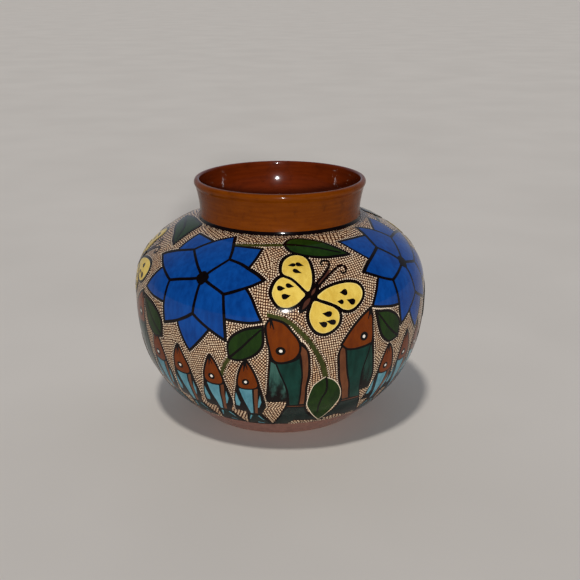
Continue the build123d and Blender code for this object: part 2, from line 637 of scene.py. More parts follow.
@dataclass(frozen=True)
class Paint:
    """A brushed slip colour under varnish, in two tones that the brush leaves."""

    name: str
    tone: Tone
    deep: Tone
    fade: Point | None = None
    gloss: float = 0.14
    swell: float = 0.35
    ragged: float = 5.0
    faded: Tone = (16, 10, 9)

    def material(self) -> bpy.types.Material:
        """Give the colour's material, made once.

        Returns:
            The material.
        """
        label = f"paint_{self.name}"
        if label in bpy.data.materials:
            return bpy.data.materials[label]
        material, sheet, shader = fresh_material(label)
        brush = sheet.use("brushwork")
        worn = sheet.weigh(brush["Streak"], brush["Blotch"], BLOTCH_SHARE)
        colour = sheet.blend(worn, linear(*self.deep), linear(*self.tone))
        if self.fade:
            edge = sheet.spread(brush["Streak"], -self.ragged, self.ragged)
            edge = sheet.math("ADD", sheet.height(sheet.object_point()), edge)
            colour = sheet.blend(sheet.ramp(edge, *self.fade), linear(*self.faded), colour)
        set_shader(sheet, shader, Base_Color=colour, Specular_IOR_Level=CLAY_SHEEN)
        set_shader(sheet, shader, Coat_Weight=PAINT_COAT, Coat_Roughness=PAINT_COAT_ROUGHNESS)
        varnished(sheet, shader, self.gloss, self.swell)
        return material


class Pigment(Enum):
    """The painter's colours."""

    BLACK = Paint("black", (14, 6, 6), (6, 3, 4))
    BLUE = Paint("blue", (11, 73, 151), (4, 52, 120))
    YELLOW = Paint("yellow", (232, 202, 96), (206, 170, 66))
    PALE = Paint("pale_yellow", (240, 216, 128), (224, 196, 104))
    CREAM = Paint("cream", (252, 234, 208), (236, 210, 176))
    HATCH = Paint("hatch_line", (62, 24, 4), (46, 17, 3))
    LEAF = Paint("leaf", (31, 57, 12), (17, 37, 7))
    STEM = Paint("stem", (66, 70, 28), (46, 50, 18))
    TEAL = Paint("teal", (18, 60, 51), (8, 39, 32))
    FIN = Paint("fin", (62, 100, 90), (26, 58, 52), (40.0, 55.0))
    DARK_FIN = Paint("dark_fin", (34, 66, 56), (14, 40, 33), (44.0, 54.0))
    SKY = Paint("sky", (104, 160, 172), (70, 124, 138))
    BROWN = Paint("brown", (120, 53, 2), (96, 38, 1))
    STRIPE = Paint("stripe", (118, 70, 42), (90, 50, 30))
    UMBER = Paint("umber", (86, 50, 38), (60, 34, 26))
    SLATE = Paint("slate", (32, 46, 42), (18, 28, 26))
    WHITE = Paint("white", (246, 240, 230), (232, 222, 206))


@dataclass(frozen=True)
class GroundFinish:
    """The crosshatched ground of the body, with its bare foot band."""

    cell: Tone = (255, 230, 193)
    cell_dim: Tone = (226, 184, 142)
    line: Tone = (62, 22, 2)
    foot: Tone = (138, 96, 83)
    foot_deep: Tone = (121, 81, 70)
    base: Tone = (168, 112, 82)
    blotches: float = 24.0
    foot_top: float = 14.4
    foot_softness: float = 0.25
    foot_wander: float = 1.6
    wander_size: float = 7.0
    standing_edge: Point = (0.2, 1.6)
    gloss: float = 0.15
    swell: float = 0.35

    def material(self) -> bpy.types.Material:
        """Build the ground's material.

        Returns:
            The material.
        """
        material, sheet, shader = fresh_material("petatillo_ground")
        mat, brush = sheet.use("petatillo"), sheet.use("brushwork", Blotches=self.blotches)
        bright = sheet.weigh(mat["Tint"], brush["Blotch"], BLOTCH_SHARE)
        cells = sheet.blend(bright, linear(*self.cell_dim), linear(*self.cell))
        colour = sheet.blend(mat["Cell"], linear(*self.line), cells)
        point = sheet.object_point()
        height = sheet.height(point)
        edge = sheet.math("ADD", height, sheet.swing(sheet.noise(point, self.wander_size), self.foot_wander))
        foot = sheet.blend(brush["Streak"], linear(*self.foot_deep), linear(*self.foot))
        painted = sheet.ramp(edge, self.foot_top - self.foot_softness, self.foot_top + self.foot_softness)
        colour = sheet.blend(painted, foot, colour)
        standing = sheet.ramp(height, *self.standing_edge)
        colour = sheet.blend(standing, linear(*self.base), colour)
        coat = sheet.math("MULTIPLY", standing, PAINT_COAT)
        set_shader(sheet, shader, Base_Color=colour, Specular_IOR_Level=CLAY_SHEEN)
        set_shader(sheet, shader, Coat_Weight=coat, Coat_Roughness=PAINT_COAT_ROUGHNESS)
        varnished(sheet, shader, self.gloss, self.swell)
        return material


@dataclass(frozen=True)
class ClayFinish:
    """Fired red clay with wiped smears round the pot, from bare to thickly varnished."""

    name: str
    tone: Tone
    deep: Tone
    scorch: Tone
    gloss: float
    coat: float
    coat_roughness: float = 0.07
    swell: float = 0.5
    pits: float = 0.3
    smear_size: float = 1.6
    smear_squeeze: tuple[float, float, float] = (0.10, 0.10, 1.0)
    fleck_size: float = 8.0
    scorched: float = 0.7

    def material(self) -> bpy.types.Material:
        """Build the clay's material.

        Returns:
            The material.
        """
        material, sheet, shader = fresh_material(self.name)
        point = sheet.object_point()
        wiped = sheet.vector("MULTIPLY", point, self.smear_squeeze).outputs[0]
        smear = sheet.ramp(sheet.noise(wiped, self.smear_size, 4.0, 0.6), 0.32, 0.72)
        colour = sheet.blend(smear, linear(*self.deep), linear(*self.tone))
        flecks = sheet.ramp(sheet.noise(point, self.fleck_size, 5.0, 0.65), 0.5, 0.78)
        colour = sheet.blend(sheet.math("MULTIPLY", flecks, self.scorched), colour, linear(*self.scorch))
        set_shader(sheet, shader, Base_Color=colour, Specular_IOR_Level=CLAY_SHEEN)
        set_shader(sheet, shader, Coat_Weight=self.coat, Coat_Roughness=self.coat_roughness)
        varnished(sheet, shader, self.gloss, self.swell, self.pits)
        return material


# Pieces


def finish_piece(
    name: str,
    shape: bmesh.types.BMesh,
    materials: Sequence[bpy.types.Material],
    replaced: Sequence[str] = (),
    normals: Sequence[Vector] | None = None,
) -> bpy.types.Object:
    """Make a piece of the pot from its mesh.

    Args:
        name: The piece's name.
        shape: Its mesh, which is used up.
        materials: Its materials, in the order of its faces' numbers.
        replaced: The solids that it stands for.
        normals: The direction outwards at each vertex, where the wall's own is wanted.

    Returns:
        The piece's object.
    """
    mesh = bpy.data.meshes.new(name)
    shape.to_mesh(mesh)
    shape.free()
    mesh.shade_smooth()
    for material in materials:
        mesh.materials.append(material)
    if normals is None:
        mesh.set_sharp_from_angle(angle=SHARP_EDGE)
    else:
        mesh.normals_split_custom_set_from_vertices(normals)
    piece = bpy.data.objects.new(name, mesh)
    bpy.context.scene.collection.objects.link(piece)
    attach(piece, "root")
    if replaced:
        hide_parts(*replaced)
    LOG.info("%s: %d faces", name, len(mesh.polygons))
    return piece


def spin_section(shape: bmesh.types.BMesh, section: Sequence[Point], slot: int, steps: int) -> None:
    """Spin part of a section about the pot's axis.

    Args:
        shape: The mesh that takes the new faces.
        section: Points as radius and height.
        slot: Material number of the new faces.
        steps: Faces round the pot.
    """
    old = set(shape.faces)
    corners = [shape.verts.new((r * MM, 0, z * MM)) for r, z in section]
    edges = [shape.edges.new(pair) for pair in zip(corners, corners[1:])]
    bmesh.ops.spin(
        shape,
        geom=corners + edges,
        cent=(0, 0, 0),
        axis=(0, 0, 1),
        angle=FULL_TURN,
        steps=steps,
        use_merge=True,
    )
    for face in set(shape.faces) - old:
        face.material_index = slot


def close_shape(shape: bmesh.types.BMesh) -> None:
    """Weld a spun mesh's seams and poles, and turn its faces outwards."""
    bmesh.ops.remove_doubles(shape, verts=shape.verts[:], dist=WELD)
    bmesh.ops.dissolve_degenerate(shape, edges=shape.edges[:], dist=WELD)
    bmesh.ops.recalc_face_normals(shape, faces=shape.faces[:])


@dataclass
class Body:
    """The pot's round body, as its two moulded halves."""

    wall: Wall
    scarf_slope: float = 1.0
    steps: int = 256
    outside_rows: int = 44
    inside_rows: int = 26
    floor_round: float = 1.5
    land_setback: float = 0.9
    seam_clearance: float = 0.2
    on_wall: float = 0.08
    hatch_heights: tuple[float, ...] = (24.0, 42.0, 118.0, 130.0)
    hatch_growth: tuple[float, ...] = (0.36, 0.04, 0.04, 0.44)

    def seam_height(self, radius: float) -> float:
        """Give the height of the bevelled joint at a radius."""
        return self.wall.belly_height + (self.wall.belly_radius - radius) * self.scarf_slope

    def build(self) -> None:
        """Build and dress both halves."""
        ground = GroundFinish().material()
        inside = ClayFinish("inside_clay", (104, 38, 12), (80, 26, 7), (52, 18, 6), 0.32, 0.3).material()
        wall = self.wall
        inner_belly = wall.belly_radius - wall.thickness
        lower_out, upper_out = wall.curves(0, self.outside_rows)
        lower_in, upper_in = wall.curves(wall.thickness, self.inside_rows)
        seam_inner = (inner_belly, self.seam_height(inner_belly))
        throat = upper_in[-1]
        lean = math.tan(math.radians(wall.shoulder_lean))
        throat_rise = (throat[0] - wall.mouth_radius) / lean

        bowl = bmesh.new()
        rounded = self.base_edge(lower_out)
        spin_section(bowl, rounded, 0, self.steps)
        spin_section(bowl, [lower_out[-1], seam_inner], 1, self.steps)
        floor_line = [p for p in lower_in if p[1] > wall.floor]
        heel = (floor_line[0][0] - self.floor_round, wall.floor)
        spin_section(bowl, [seam_inner, *floor_line[::-1], heel, (0, wall.floor)], 1, self.steps)
        close_shape(bowl)
        self.rule(finish_piece(
            "bowl_half", bowl, [ground, inside], ["lower_bowl"], self.outward(bowl)
        ))

        dome = bmesh.new()
        spin_section(dome, upper_out, 0, self.steps)
        land = [
            upper_out[-1],
            (wall.land_radius - self.land_setback, wall.land_level),
            (wall.mouth_radius, wall.land_level),
            (wall.mouth_radius, throat[1] + throat_rise),
        ]
        under = [p for p in reversed(upper_in) if p[1] > seam_inner[1] + self.seam_clearance]
        spin_section(dome, land + under + [seam_inner, upper_out[0]], 1, self.steps)
        close_shape(dome)
        self.rule(finish_piece(
            "dome_half",
            dome,
            [ground, inside],
            ["shoulder_dome", "belly_seam_slip"],
            self.outward(dome),
        ))

    def rule(self, piece: bpy.types.Object) -> None:
        """Rule the crosshatch on a half: how coarse it is, and how far up its rows have come."""
        heights = self.wall.points[:, 1]
        sizes = 1 + np.interp(heights, self.hatch_heights, self.hatch_growth)
        rows = np.concatenate([[0], np.cumsum(np.diff(self.wall.lengths) / sizes[1:])])
        levels = [v.co.z / MM for v in piece.data.vertices]
        for name, values in (("hatch_size", sizes), ("hatch_rows", rows)):
            ruled = piece.data.attributes.new(name, "FLOAT", "POINT")
            ruled.data.foreach_set("value", np.interp(levels, heights, values).astype(np.float32))

    def base_edge(self, outside: Sequence[Point]) -> list[Point]:
        """Give the bowl's outside from the middle of its base, with the standing edge rounded."""
        reach = self.wall.base_round
        start = Vector((self.wall.base_radius - reach, 0))
        above = [Vector(p) for p in outside if p[1] > reach * 0.7]
        corner = Vector((self.wall.base_radius, 0))
        knots = (start, start.lerp(corner, 2 / 3), above[0].lerp(corner, 2 / 3), above[0])
        turn = interpolate_bezier(*(k.to_3d() for k in knots), 6)
        return [(0.0, 0.0), (start.x * 0.5, 0.0)] + [(p.x, p.y) for p in turn] + [tuple(p) for p in above[1:]]

    def outward(self, shape: bmesh.types.BMesh) -> list[Vector]:
        """Give each vertex of a half its direction outwards, from the wall's curve where it lies on it."""
        shape.normal_update()
        directions = []
        for vertex in shape.verts:
            x, y, z = vertex.co / MM
            radius = math.hypot(x, y)
            gaps = np.hypot(self.wall.points[:, 0] - radius, self.wall.points[:, 1] - z)
            near = int(np.argmin(gaps))
            if gaps[near] < self.on_wall and z > 2 * self.wall.base_round:
                out, up = self.wall.normals[near]
                directions.append(Vector((out * x / radius, out * y / radius, up)).normalized())
            else:
                directions.append(Vector((0, 0, 0)))
        return directions


@dataclass
class Neck:
    """The flared collar and the soft lip that finishes it."""

    wall: Wall
    steps: int = 192
    waist_share: float = 0.36
    foot_spread: float = 0.6
    lip_swell: float = 1.2
    lip_thickness: float = 2.4
    line_rise: float = 1.9
    lip_rise: float = 0.5
    root_spread: float = 1.1
    root_sink: float = 0.24
    joint_step: float = 0.1
    crown_inset: float = 2.2

    def build(self) -> None:
        """Build and dress the collar and the lip."""
        bed, top = (corner.z for corner in box_mm("neck_collar"))
        lip_low, lip_high = (corner.z for corner in box_mm("rim_coil"))
        foot = box_mm("collar_seam_slip")[1].x
        top_radius = box_mm("rim_seam_slip")[1].x
        waist = (foot - self.foot_spread, bed + self.waist_share * (top - bed))
        joint = (top_radius + self.joint_step, lip_low)
        inner_joint = (joint[0] - self.lip_thickness - 0.2, lip_low)
        land = box_mm("collar_seam_slip")[0].z
        upright = self.arc((foot, bed), waist, (top_radius, top))[2:] + [joint]
        shoulder = land - self.wall.sag
        root = (foot + self.root_spread, shoulder - self.root_sink)
        smear = trace(root, ((foot + 0.35, shoulder + 0.1), (foot + 0.05, bed - 0.2), upright[0]), step=0.3)
        smear = [tuple(p) for p in smear]
        stained = 1 + sum(height < shoulder + self.line_rise for _, height in smear)
        outside = smear[stained - 1:] + upright[1:]
        line_black = Pigment.BLACK.value.material()
        middle = (inner_joint[0] - 0.3, (bed + lip_low) / 2)
        inside = self.arc((self.wall.mouth_radius, bed), middle, inner_joint)
        outer_clay = ClayFinish("collar_clay", (118, 56, 3), (105, 47, 1), (78, 33, 1), 0.22, 0.15).material()
        inner_clay = ClayFinish("mouth_clay", (102, 36, 7), (88, 29, 5), (66, 21, 4), 0.22, 0.4).material()
        collar = bmesh.new()
        spin_section(collar, outside, 0, self.steps)
        spin_section(collar, smear[:stained], 2, self.steps)
        underside = [(foot, bed), (foot - 0.1, land), (foot + 0.25, shoulder + 0.3), root]
        spin_section(collar, [joint, inner_joint] + inside[-2::-1] + underside, 1, self.steps)
        self.finish("collar", collar, [outer_clay, inner_clay, line_black], ["neck_collar", "rim_seam_slip"])

        swell = joint[0] + self.lip_swell - self.joint_step
        crown = swell - self.crown_inset
        lip_inner = inner_joint[0] + 0.15
        outer_lip = trace(
            joint,
            ((joint[0] + 0.35, lip_low + 0.8), (swell, lip_low + 1.6), (swell, lip_low + 2.5)),
            ((swell, lip_high - 0.7), (crown + 1.2, lip_high), (crown, lip_high)),
            step=0.4,
        )
        inner_lip = trace(
            (crown, lip_high),
            ((crown - 0.8, lip_high), (lip_inner + 0.05, lip_high - 0.3), (lip_inner, lip_high - 1.4)),
            (inner_joint,),
            step=0.4,
        )
        lip = bmesh.new()
        spin_section(lip, [tuple(p) for p in outer_lip], 0, self.steps)
        spin_section(lip, [tuple(p) for p in inner_lip] + [joint], 1, self.steps)
        self.finish("lip", lip, [outer_clay, inner_clay], ["rim_coil"])

    @staticmethod
    def arc(foot: Point, middle: Point, top: Point) -> list[Point]:
        """Give one side of the collar, from its foot past its middle to its top."""
        knots = [Vector(p) for p in (foot, middle, top)]
        run = (knots[0].lerp(knots[1], 2 / 3), knots[2].lerp(knots[1], 2 / 3), knots[2])
        return [tuple(p) for p in trace(foot, run, step=0.7)]

    def finish(
        self, name: str, shape: bmesh.types.BMesh, clays: Sequence[bpy.types.Material], nodes: Sequence[str]
    ) -> None:
        """Close a piece of the neck, raise it towards its lip and dress it.

        Args:
            name: The piece's name.
            shape: Its spun mesh.
            clays: Its finishes, in the order of its faces' numbers.
            nodes: The solids that it stands for.
        """
        close_shape(shape)
        bed, lip_top = box_mm("neck_collar")[0].z, box_mm("rim_coil")[1].z
        for vertex in shape.verts:
            vertex.co.z += self.lip_rise * MM * max((vertex.co.z / MM - bed) / (lip_top - bed), 0.0)
        finish_piece(name, shape, clays, nodes)


# Painted figures


class Sketch:
    """A flat drawing in millimetres, whose patches become thin films of paint on the wall."""

    SUNK = -0.25
    DEEP = -500.0
    FIRST_LIFT = 0.07
    LAYER = 0.04
    GRID = 2.6
    BAND_LIFT = 0.022
    DAB_LIFT = 0.04
    BAND_WIDTH = 1.4
    DAB_CORNERS = ((1, 0.7), (-0.8, 1), (-1, -0.8), (0.9, -1))

    def __init__(self) -> None:
        """Start an empty drawing."""
        self.shape = bmesh.new()
        self.dabs = bmesh.new()
        self.pigments: list[Pigment] = []

    def number(self, pigment: Pigment) -> int:
        """Give a colour's number in this drawing."""
        if pigment not in self.pigments:
            self.pigments.append(pigment)
        return self.pigments.index(pigment)

    def patch(self, outline: Sequence[Vector], pigment: Pigment, layer: int) -> None:
        """Fill an outline with a colour.

        Args:
            outline: The patch's points.
            pigment: Its colour.
            layer: How many films lie under it.
        """
        lift = self.FIRST_LIFT + self.LAYER * layer
        corners = [self.shape.verts.new((p.x, p.y, lift)) for p in outline]
        self.shape.faces.new(corners).material_index = self.number(pigment)

    def stroke(
        self,
        line: Sequence[Vector],
        width: float,
        pigment: Pigment,
        layer: int,
        end_width: float | None = None,
        lift: float | None = None,
    ) -> None:
        """Draw a brush stroke along a line.

        Args:
            line: Points along its middle.
            width: Its width at the start.
            pigment: Its colour.
            layer: How many films lie under it.
            end_width: Its width at the end, where that differs.
            lift: Its height over the wall, where that differs from its layer's.
        """
        lift = self.FIRST_LIFT + self.LAYER * layer if lift is None else lift
        edges = [
            [self.shape.verts.new((p.x, p.y, lift)) for p in pair] for pair in rails(line, width, end_width)
        ]
        for (a, b), (c, d) in zip(edges, edges[1:]):
            self.shape.faces.new((a, b, d, c)).material_index = self.number(pigment)

    def dot_row(self, line: Sequence[Vector], size: float = 0.78, step: float = 1.55) -> None:
        """Set a row of small cream dabs on a dark band along a line.

        Args:
            line: Points along the row.
            size: Width of a dab.
            step: Distance from one dab to the next.
        """
        self.stroke(line, self.BAND_WIDTH, Pigment.HATCH, 0, lift=self.BAND_LIFT)
        number = self.number(Pigment.CREAM)
        for stop, along in spaced(line, step):
            side = Vector((-along.y, along.x))
            corners = [stop + (along * a + side * b) * size / 2 for a, b in self.DAB_CORNERS]
            verts = [self.dabs.verts.new((p.x, p.y, self.DAB_LIFT)) for p in corners]
            self.dabs.faces.new(verts).material_index = number

    def halo(self, outline: Sequence[Vector], gap: float) -> None:
        """Set a row of dabs all round an outline."""
        ring = grow(outline, gap)
        self.dot_row(ring + ring[:1])

    def outlined(self, outline: Sequence[Vector], pigment: Pigment, line: float, layer: int = 0) -> None:
        """Fill an outline with a colour over a black patch that shows as its outline.

        Args:
            outline: The coloured patch's points.
            pigment: Its colour.
            line: Width of the black line about it.
            layer: How many films lie under the black one.
        """
        self.patch(grow(outline, line), Pigment.BLACK, layer)
        self.patch(outline, pigment, layer + 1)

    def prepare(self) -> "Sketch":
        """Cut the drawing by a grid, so that it can bend, and give it thickness.

        The films are deep at first, which makes plain which way out is for each of them.

        Returns:
            The drawing itself.
        """
        shape = self.shape
        for axis in (Vector((1, 0, 0)), Vector((0, 1, 0))):
            reaches = [v.co.dot(axis) for v in shape.verts]
            first, last = math.floor(min(reaches) / self.GRID), math.ceil(max(reaches) / self.GRID)
            for k in range(first + 1, last):
                everything = shape.verts[:] + shape.edges[:] + shape.faces[:]
                bmesh.ops.bisect_plane(
                    shape, geom=everything, dist=SAME_POINT, plane_co=axis * self.GRID * k, plane_no=axis
                )
        add_mesh(shape, self.dabs)
        made = bmesh.ops.extrude_face_region(shape, geom=shape.faces[:])["geom"]
        undersides = [g for g in made if isinstance(g, bmesh.types.BMVert)]
        for vertex in undersides:
            vertex.co.z = self.DEEP
        bmesh.ops.recalc_face_normals(shape, faces=shape.faces[:])
        for vertex in undersides:
            vertex.co.z = self.SUNK
        return self


def add_mesh(shape: bmesh.types.BMesh, other: bmesh.types.BMesh) -> None:
    """Put another mesh's faces into a mesh, and use the other up."""
    carrier = bpy.data.meshes.new("carrier")
    other.to_mesh(carrier)
    other.free()
    shape.from_mesh(carrier)
    bpy.data.meshes.remove(carrier)


@dataclass(frozen=True)
class Placement:
    """Where a drawing goes on the wall: its origin's bearing and length up the wall, and its scale."""

    bearing: float
    length: float = 0.0
    mirrored: bool = False
    scale: float = 1.0
    lift: float = 0.0


class Figure:
    """A painted figure, made of drawings that are wrapped about the wall and joined into one piece."""

    SHAKE_SIZE = 11.0

    def __init__(self, name: str, wall: Wall, shake: float = 0.55) -> None:
        """Start an empty figure on a wall, drawn by a hand that shakes by so many millimetres."""
        self.name = name
        self.wall = wall
        self.shake = shake
        self.shape = bmesh.new()
        self.outward: list[Vector] = []
        self.pigments: list[Pigment] = []

    def take(self, sketch: Sketch, place: Placement) -> None:
        """Wrap a prepared drawing about the wall, with the slow shake of a hand.

        Args:
            sketch: The drawing.
            place: Where its origin goes.
        """
        for pigment in sketch.pigments:
            if pigment not in self.pigments:
                self.pigments.append(pigment)
        slots = [self.pigments.index(p) for p in sketch.pigments]
        copy = sketch.shape.copy()
        turn = -1 if place.mirrored else 1
        for vertex in copy.verts:
            across, along, lift = vertex.co
            across, along = across * place.scale, along * place.scale
            spot = Vector((across / self.SHAKE_SIZE, along / self.SHAKE_SIZE, place.bearing))
            shake = noise.noise_vector(spot) * self.shake
            length = place.length + along + shake.y
            bearing = math.radians(place.bearing) + turn * (across + shake.x) / self.wall.radius(length)
            vertex.co, outward = self.wall.place(bearing, length, lift + place.lift)
            self.outward.append(outward)
        for face in copy.faces:
            face.material_index = slots[face.material_index]
        if place.mirrored:
            bmesh.ops.reverse_faces(copy, faces=copy.faces[:])
        add_mesh(self.shape, copy)

    def finish(self) -> bpy.types.Object:
        """Make the figure's piece.

        Returns:
            The piece's object.
        """
        materials = [p.value.material() for p in self.pigments]
        return finish_piece(self.name, self.shape, materials, (), self.outward)


def polar(bearing: float, reach: float) -> Vector:
    """Give the point at a bearing in degrees and a reach from the origin."""
    turn = math.radians(bearing)
    return Vector((math.cos(turn), math.sin(turn))) * reach


@dataclass(frozen=True)
class Flower:
    """A star flower of five petals with five more behind, each point as a bearing and a reach."""

    tips: tuple[Point, ...]
    notches: tuple[Point, ...]
    back_tips: tuple[Point, ...]
    side_share: float = 0.53
    line: float = 0.95
    back_line: float = 0.76
    fullness: float = 0.05
    heart: float = 4.4
    halo_gap: float = 0.62

    def sketch(self) -> Sketch:
        """Draw the flower about its heart.

        Returns:
            The drawing.
        """
        sketch = Sketch()
        tips, notches, backs = (
            [polar(*p) for p in points] for points in (self.tips, self.notches, self.back_tips)
        )
        for k, (notch, back) in enumerate(zip(notches, backs)):
            near, far = tips[k], tips[(k + 1) % len(tips)]
            sides = [notch.lerp(tip, self.side_share) for tip in (near, far)]
            self.petal(sketch, [notch, sides[0], back, sides[1]], 0, self.back_line)
        for k, tip in enumerate(tips):
            self.petal(sketch, [Vector((0, 0)), notches[k - 1], tip, notches[k]], 2, self.line)
        heart = [(self.heart, 0.8), (-0.5, self.heart), (-self.heart, -0.6), (0.7, -self.heart)]
        sketch.patch(smooth(heart, True), Pigment.BLACK, 4)
        return sketch.prepare()

    def petal(self, sketch: Sketch, corners: Sequence[Vector], layer: int, line: float) -> None:
        """Draw a petal from four corners, its two outer edges a little full.

        Args:
            sketch: The drawing.
            corners: The corner at its root, one side, the tip and the other side.
            layer: How many films lie under it.
            line: Half the width of the black line round it.
        """
        root, left, tip, right = corners
        runs = [(left,)]
        for a, b in ((left, tip), (tip, right)):
            out = Vector((b.y - a.y, a.x - b.x))
            if out.dot(a + b - root * 2) < 0:
                out = -out
            runs.append((a.lerp(b, 1 / 3) + out * self.fullness, a.lerp(b, 2 / 3) + out * self.fullness, b))
        outline = closed(trace(root, *runs, (root,)))
        sketch.patch(grow(outline, line), Pigment.BLACK, layer)
        sketch.patch(grow(outline, -line), Pigment.BLUE, layer + 1)
        sketch.halo(outline, line + self.halo_gap)


WIDE_FLOWER = Flower(
    tips=((4.2, 37.6), (83.0, 34.6), (172.0, 43.2), (231.3, 41.0), (300.4, 40.2)),
    notches=((52.9, 19.0), (134.5, 23.8), (193.8, 25.1), (266.4, 21.8), (336.2, 18.5)),
    back_tips=((43.6, 36.4), (126.6, 37.0), (198.6, 51.5), (263.4, 45.5), (332.8, 47.0)),
)
TALL_FLOWER = Flower(
    tips=((15.0, 44.0), (96.5, 36.0), (176.6, 37.2), (244.2, 39.4), (308.0, 38.0)),
    notches=((52.0, 21.0), (125.5, 19.3), (199.8, 20.5), (277.4, 20.5), (344.0, 17.5)),
    back_tips=((57.0, 42.0), (138.8, 41.7), (203.5, 45.9), (275.0, 44.6), (341.0, 49.0)),
)


Spot = tuple[float, float, float, float, float]


@dataclass(frozen=True)
class Wing:
    """One wing of the butterfly: its outline, and each spot's middle, length, width and bearing."""

    outline: tuple[Point, ...]
    spots: tuple[Spot, ...]


@dataclass(frozen=True)
class Butterfly:
    """A spotted butterfly, drawn with its head up the sketch and then turned."""

    lean: float = -32.6
    line: float = 1.85
    pale_rim: float = 0.06
    halo_gap: float = 0.6
    wings: tuple[Wing, ...] = (
        Wing(
            ((-4.1, 0.4), (-10.2, 2.4), (-15.4, 3.9), (-19.4, 3.3), (-21.5, -0.8), (-21.6, -5.8),
             (-19.8, -10.4), (-14.4, -13.0), (-9.7, -11.8), (-6.6, -8.0), (-4.8, -3.4)),
            ((-17.6, -3.7, 5.0, 3.2, 32.0), (-13.9, 0.2, 5.0, 2.9, 18.0), (-13.2, -6.2, 5.2, 3.2, 42.0)),
        ),
        Wing(
            ((-3.4, 2.6), (-9.7, 4.2), (-15.4, 5.6), (-20.6, 5.4), (-23.0, 9.6), (-23.5, 14.6),
             (-21.6, 19.6), (-17.0, 22.4), (-12.2, 21.2), (-8.3, 16.4), (-5.0, 10.8), (-3.2, 6.2)),
            ((-18.7, 13.2, 4.7, 2.5, 222.0), (-14.7, 15.8, 5.0, 2.8, 12.0), (-14.1, 10.9, 5.4, 2.8, 8.0)),
        ),
        Wing(
            ((2.4, -0.6), (8.3, 0.5), (14.1, 1.2), (18.6, 0.0), (21.0, -3.4), (21.3, -7.4),
             (19.4, -11.6), (15.8, -14.4), (11.0, -14.6), (6.2, -12.4), (3.2, -9.0), (2.2, -4.6)),
            ((12.3, -3.5, 6.1, 3.4, 202.0), (13.2, -9.5, 5.4, 3.6, 188.0), (17.0, -6.4, 6.0, 3.3, 195.0)),
        ),
        Wing(
            ((2.9, 1.9), (3.7, 6.0), (6.8, 10.6), (11.6, 15.2), (17.4, 18.9), (22.6, 20.2), (26.6, 18.2),
             (28.0, 14.0), (27.0, 8.8), (24.4, 5.0), (20.2, 3.0), (15.6, 3.2), (9.6, 2.8)),
            ((15.8, 11.9, 5.0, 3.8, 212.0), (16.4, 5.9, 4.2, 2.9, 202.0), (22.2, 9.3, 6.0, 3.8, 188.0)),
        ),
    )

    def sketch(self) -> Sketch:
        """Draw the butterfly about the middle of its body.

        Returns:
            The drawing.
        """
        sketch = Sketch()
        turn = Matrix.Rotation(math.radians(self.lean), 2)
        for k, wing in enumerate(self.wings):
            outline = [turn @ p for p in smooth(wing.outline, True)]
            sketch.halo(outline, self.line + self.halo_gap)
            sketch.outlined(outline, Pigment.PALE, self.line, 2 * k)
            middle = sum(outline, Vector((0, 0))) / len(outline)
            sketch.patch([p.lerp(middle, self.pale_rim) for p in outline], Pigment.YELLOW, 8)
            for across, along, length, width, bearing in wing.spots:
                drop = teardrop((across, along), length, width, bearing)
                sketch.patch([turn @ p for p in drop], Pigment.BLACK, 9)
        self.body(sketch, turn)
        return sketch.prepare()

    @staticmethod
    def body(sketch: Sketch, turn: Matrix) -> None:
        """Draw the body and the two curled feelers."""
        parts = (
            (((-0.4, 9.0), (1.0, 7.0), (0.7, 3.0), (0.9, -1.0), (0.5, -5.0), (-1.9, -10.4), (-3.4, -7.0),
              (-2.7, -2.0), (-1.9, 3.0), (-1.8, 7.0)), Pigment.BLACK, 10, 0.7),
            (((-0.6, -0.2), (0.0, -3.5), (-1.7, -8.4), (-2.5, -4.2)), Pigment.UMBER, 11, 0.0),
            (((-0.6, 6.8), (0.1, 4.0), (-0.6, 1.4), (-1.3, 4.0)), Pigment.UMBER, 11, 0.0),
        )
        for points, pigment, layer, swell in parts:
            sketch.patch([turn @ p for p in grow(smooth(points, True), swell)], pigment, layer)
        feelers = (
            trace(
                (-1.6, 8.0),
                ((-0.6, 13.5), (0.6, 17.8), (1.2, 22.2)),
                ((1.5, 25.6), (-1.0, 27.2), (-3.4, 25.3)),
                ((-4.9, 24.0), (-4.9, 21.7), (-2.8, 21.9)),
            ),
            trace(
                (0.6, 8.0),
                ((2.0, 14.6), (3.8, 20.6), (6.0, 25.2)),
                ((7.4, 27.6), (11.0, 27.6), (12.0, 24.8)),
                ((12.6, 22.8), (10.6, 21.2), (8.9, 22.9)),
            ),
        )
        sketch.stroke([turn @ p for p in trace((-0.5, 8.0), ((2.2, 21.0),))], 1.4, Pigment.UMBER, 1, 1.9)
        for feeler, side in zip(feelers, (1.6, -1.6)):
            line = [turn @ p for p in feeler]
            sketch.stroke(line, 1.5, Pigment.BLACK, 2, 1.3)
            sketch.dot_row(beside(line[3:-8], side))


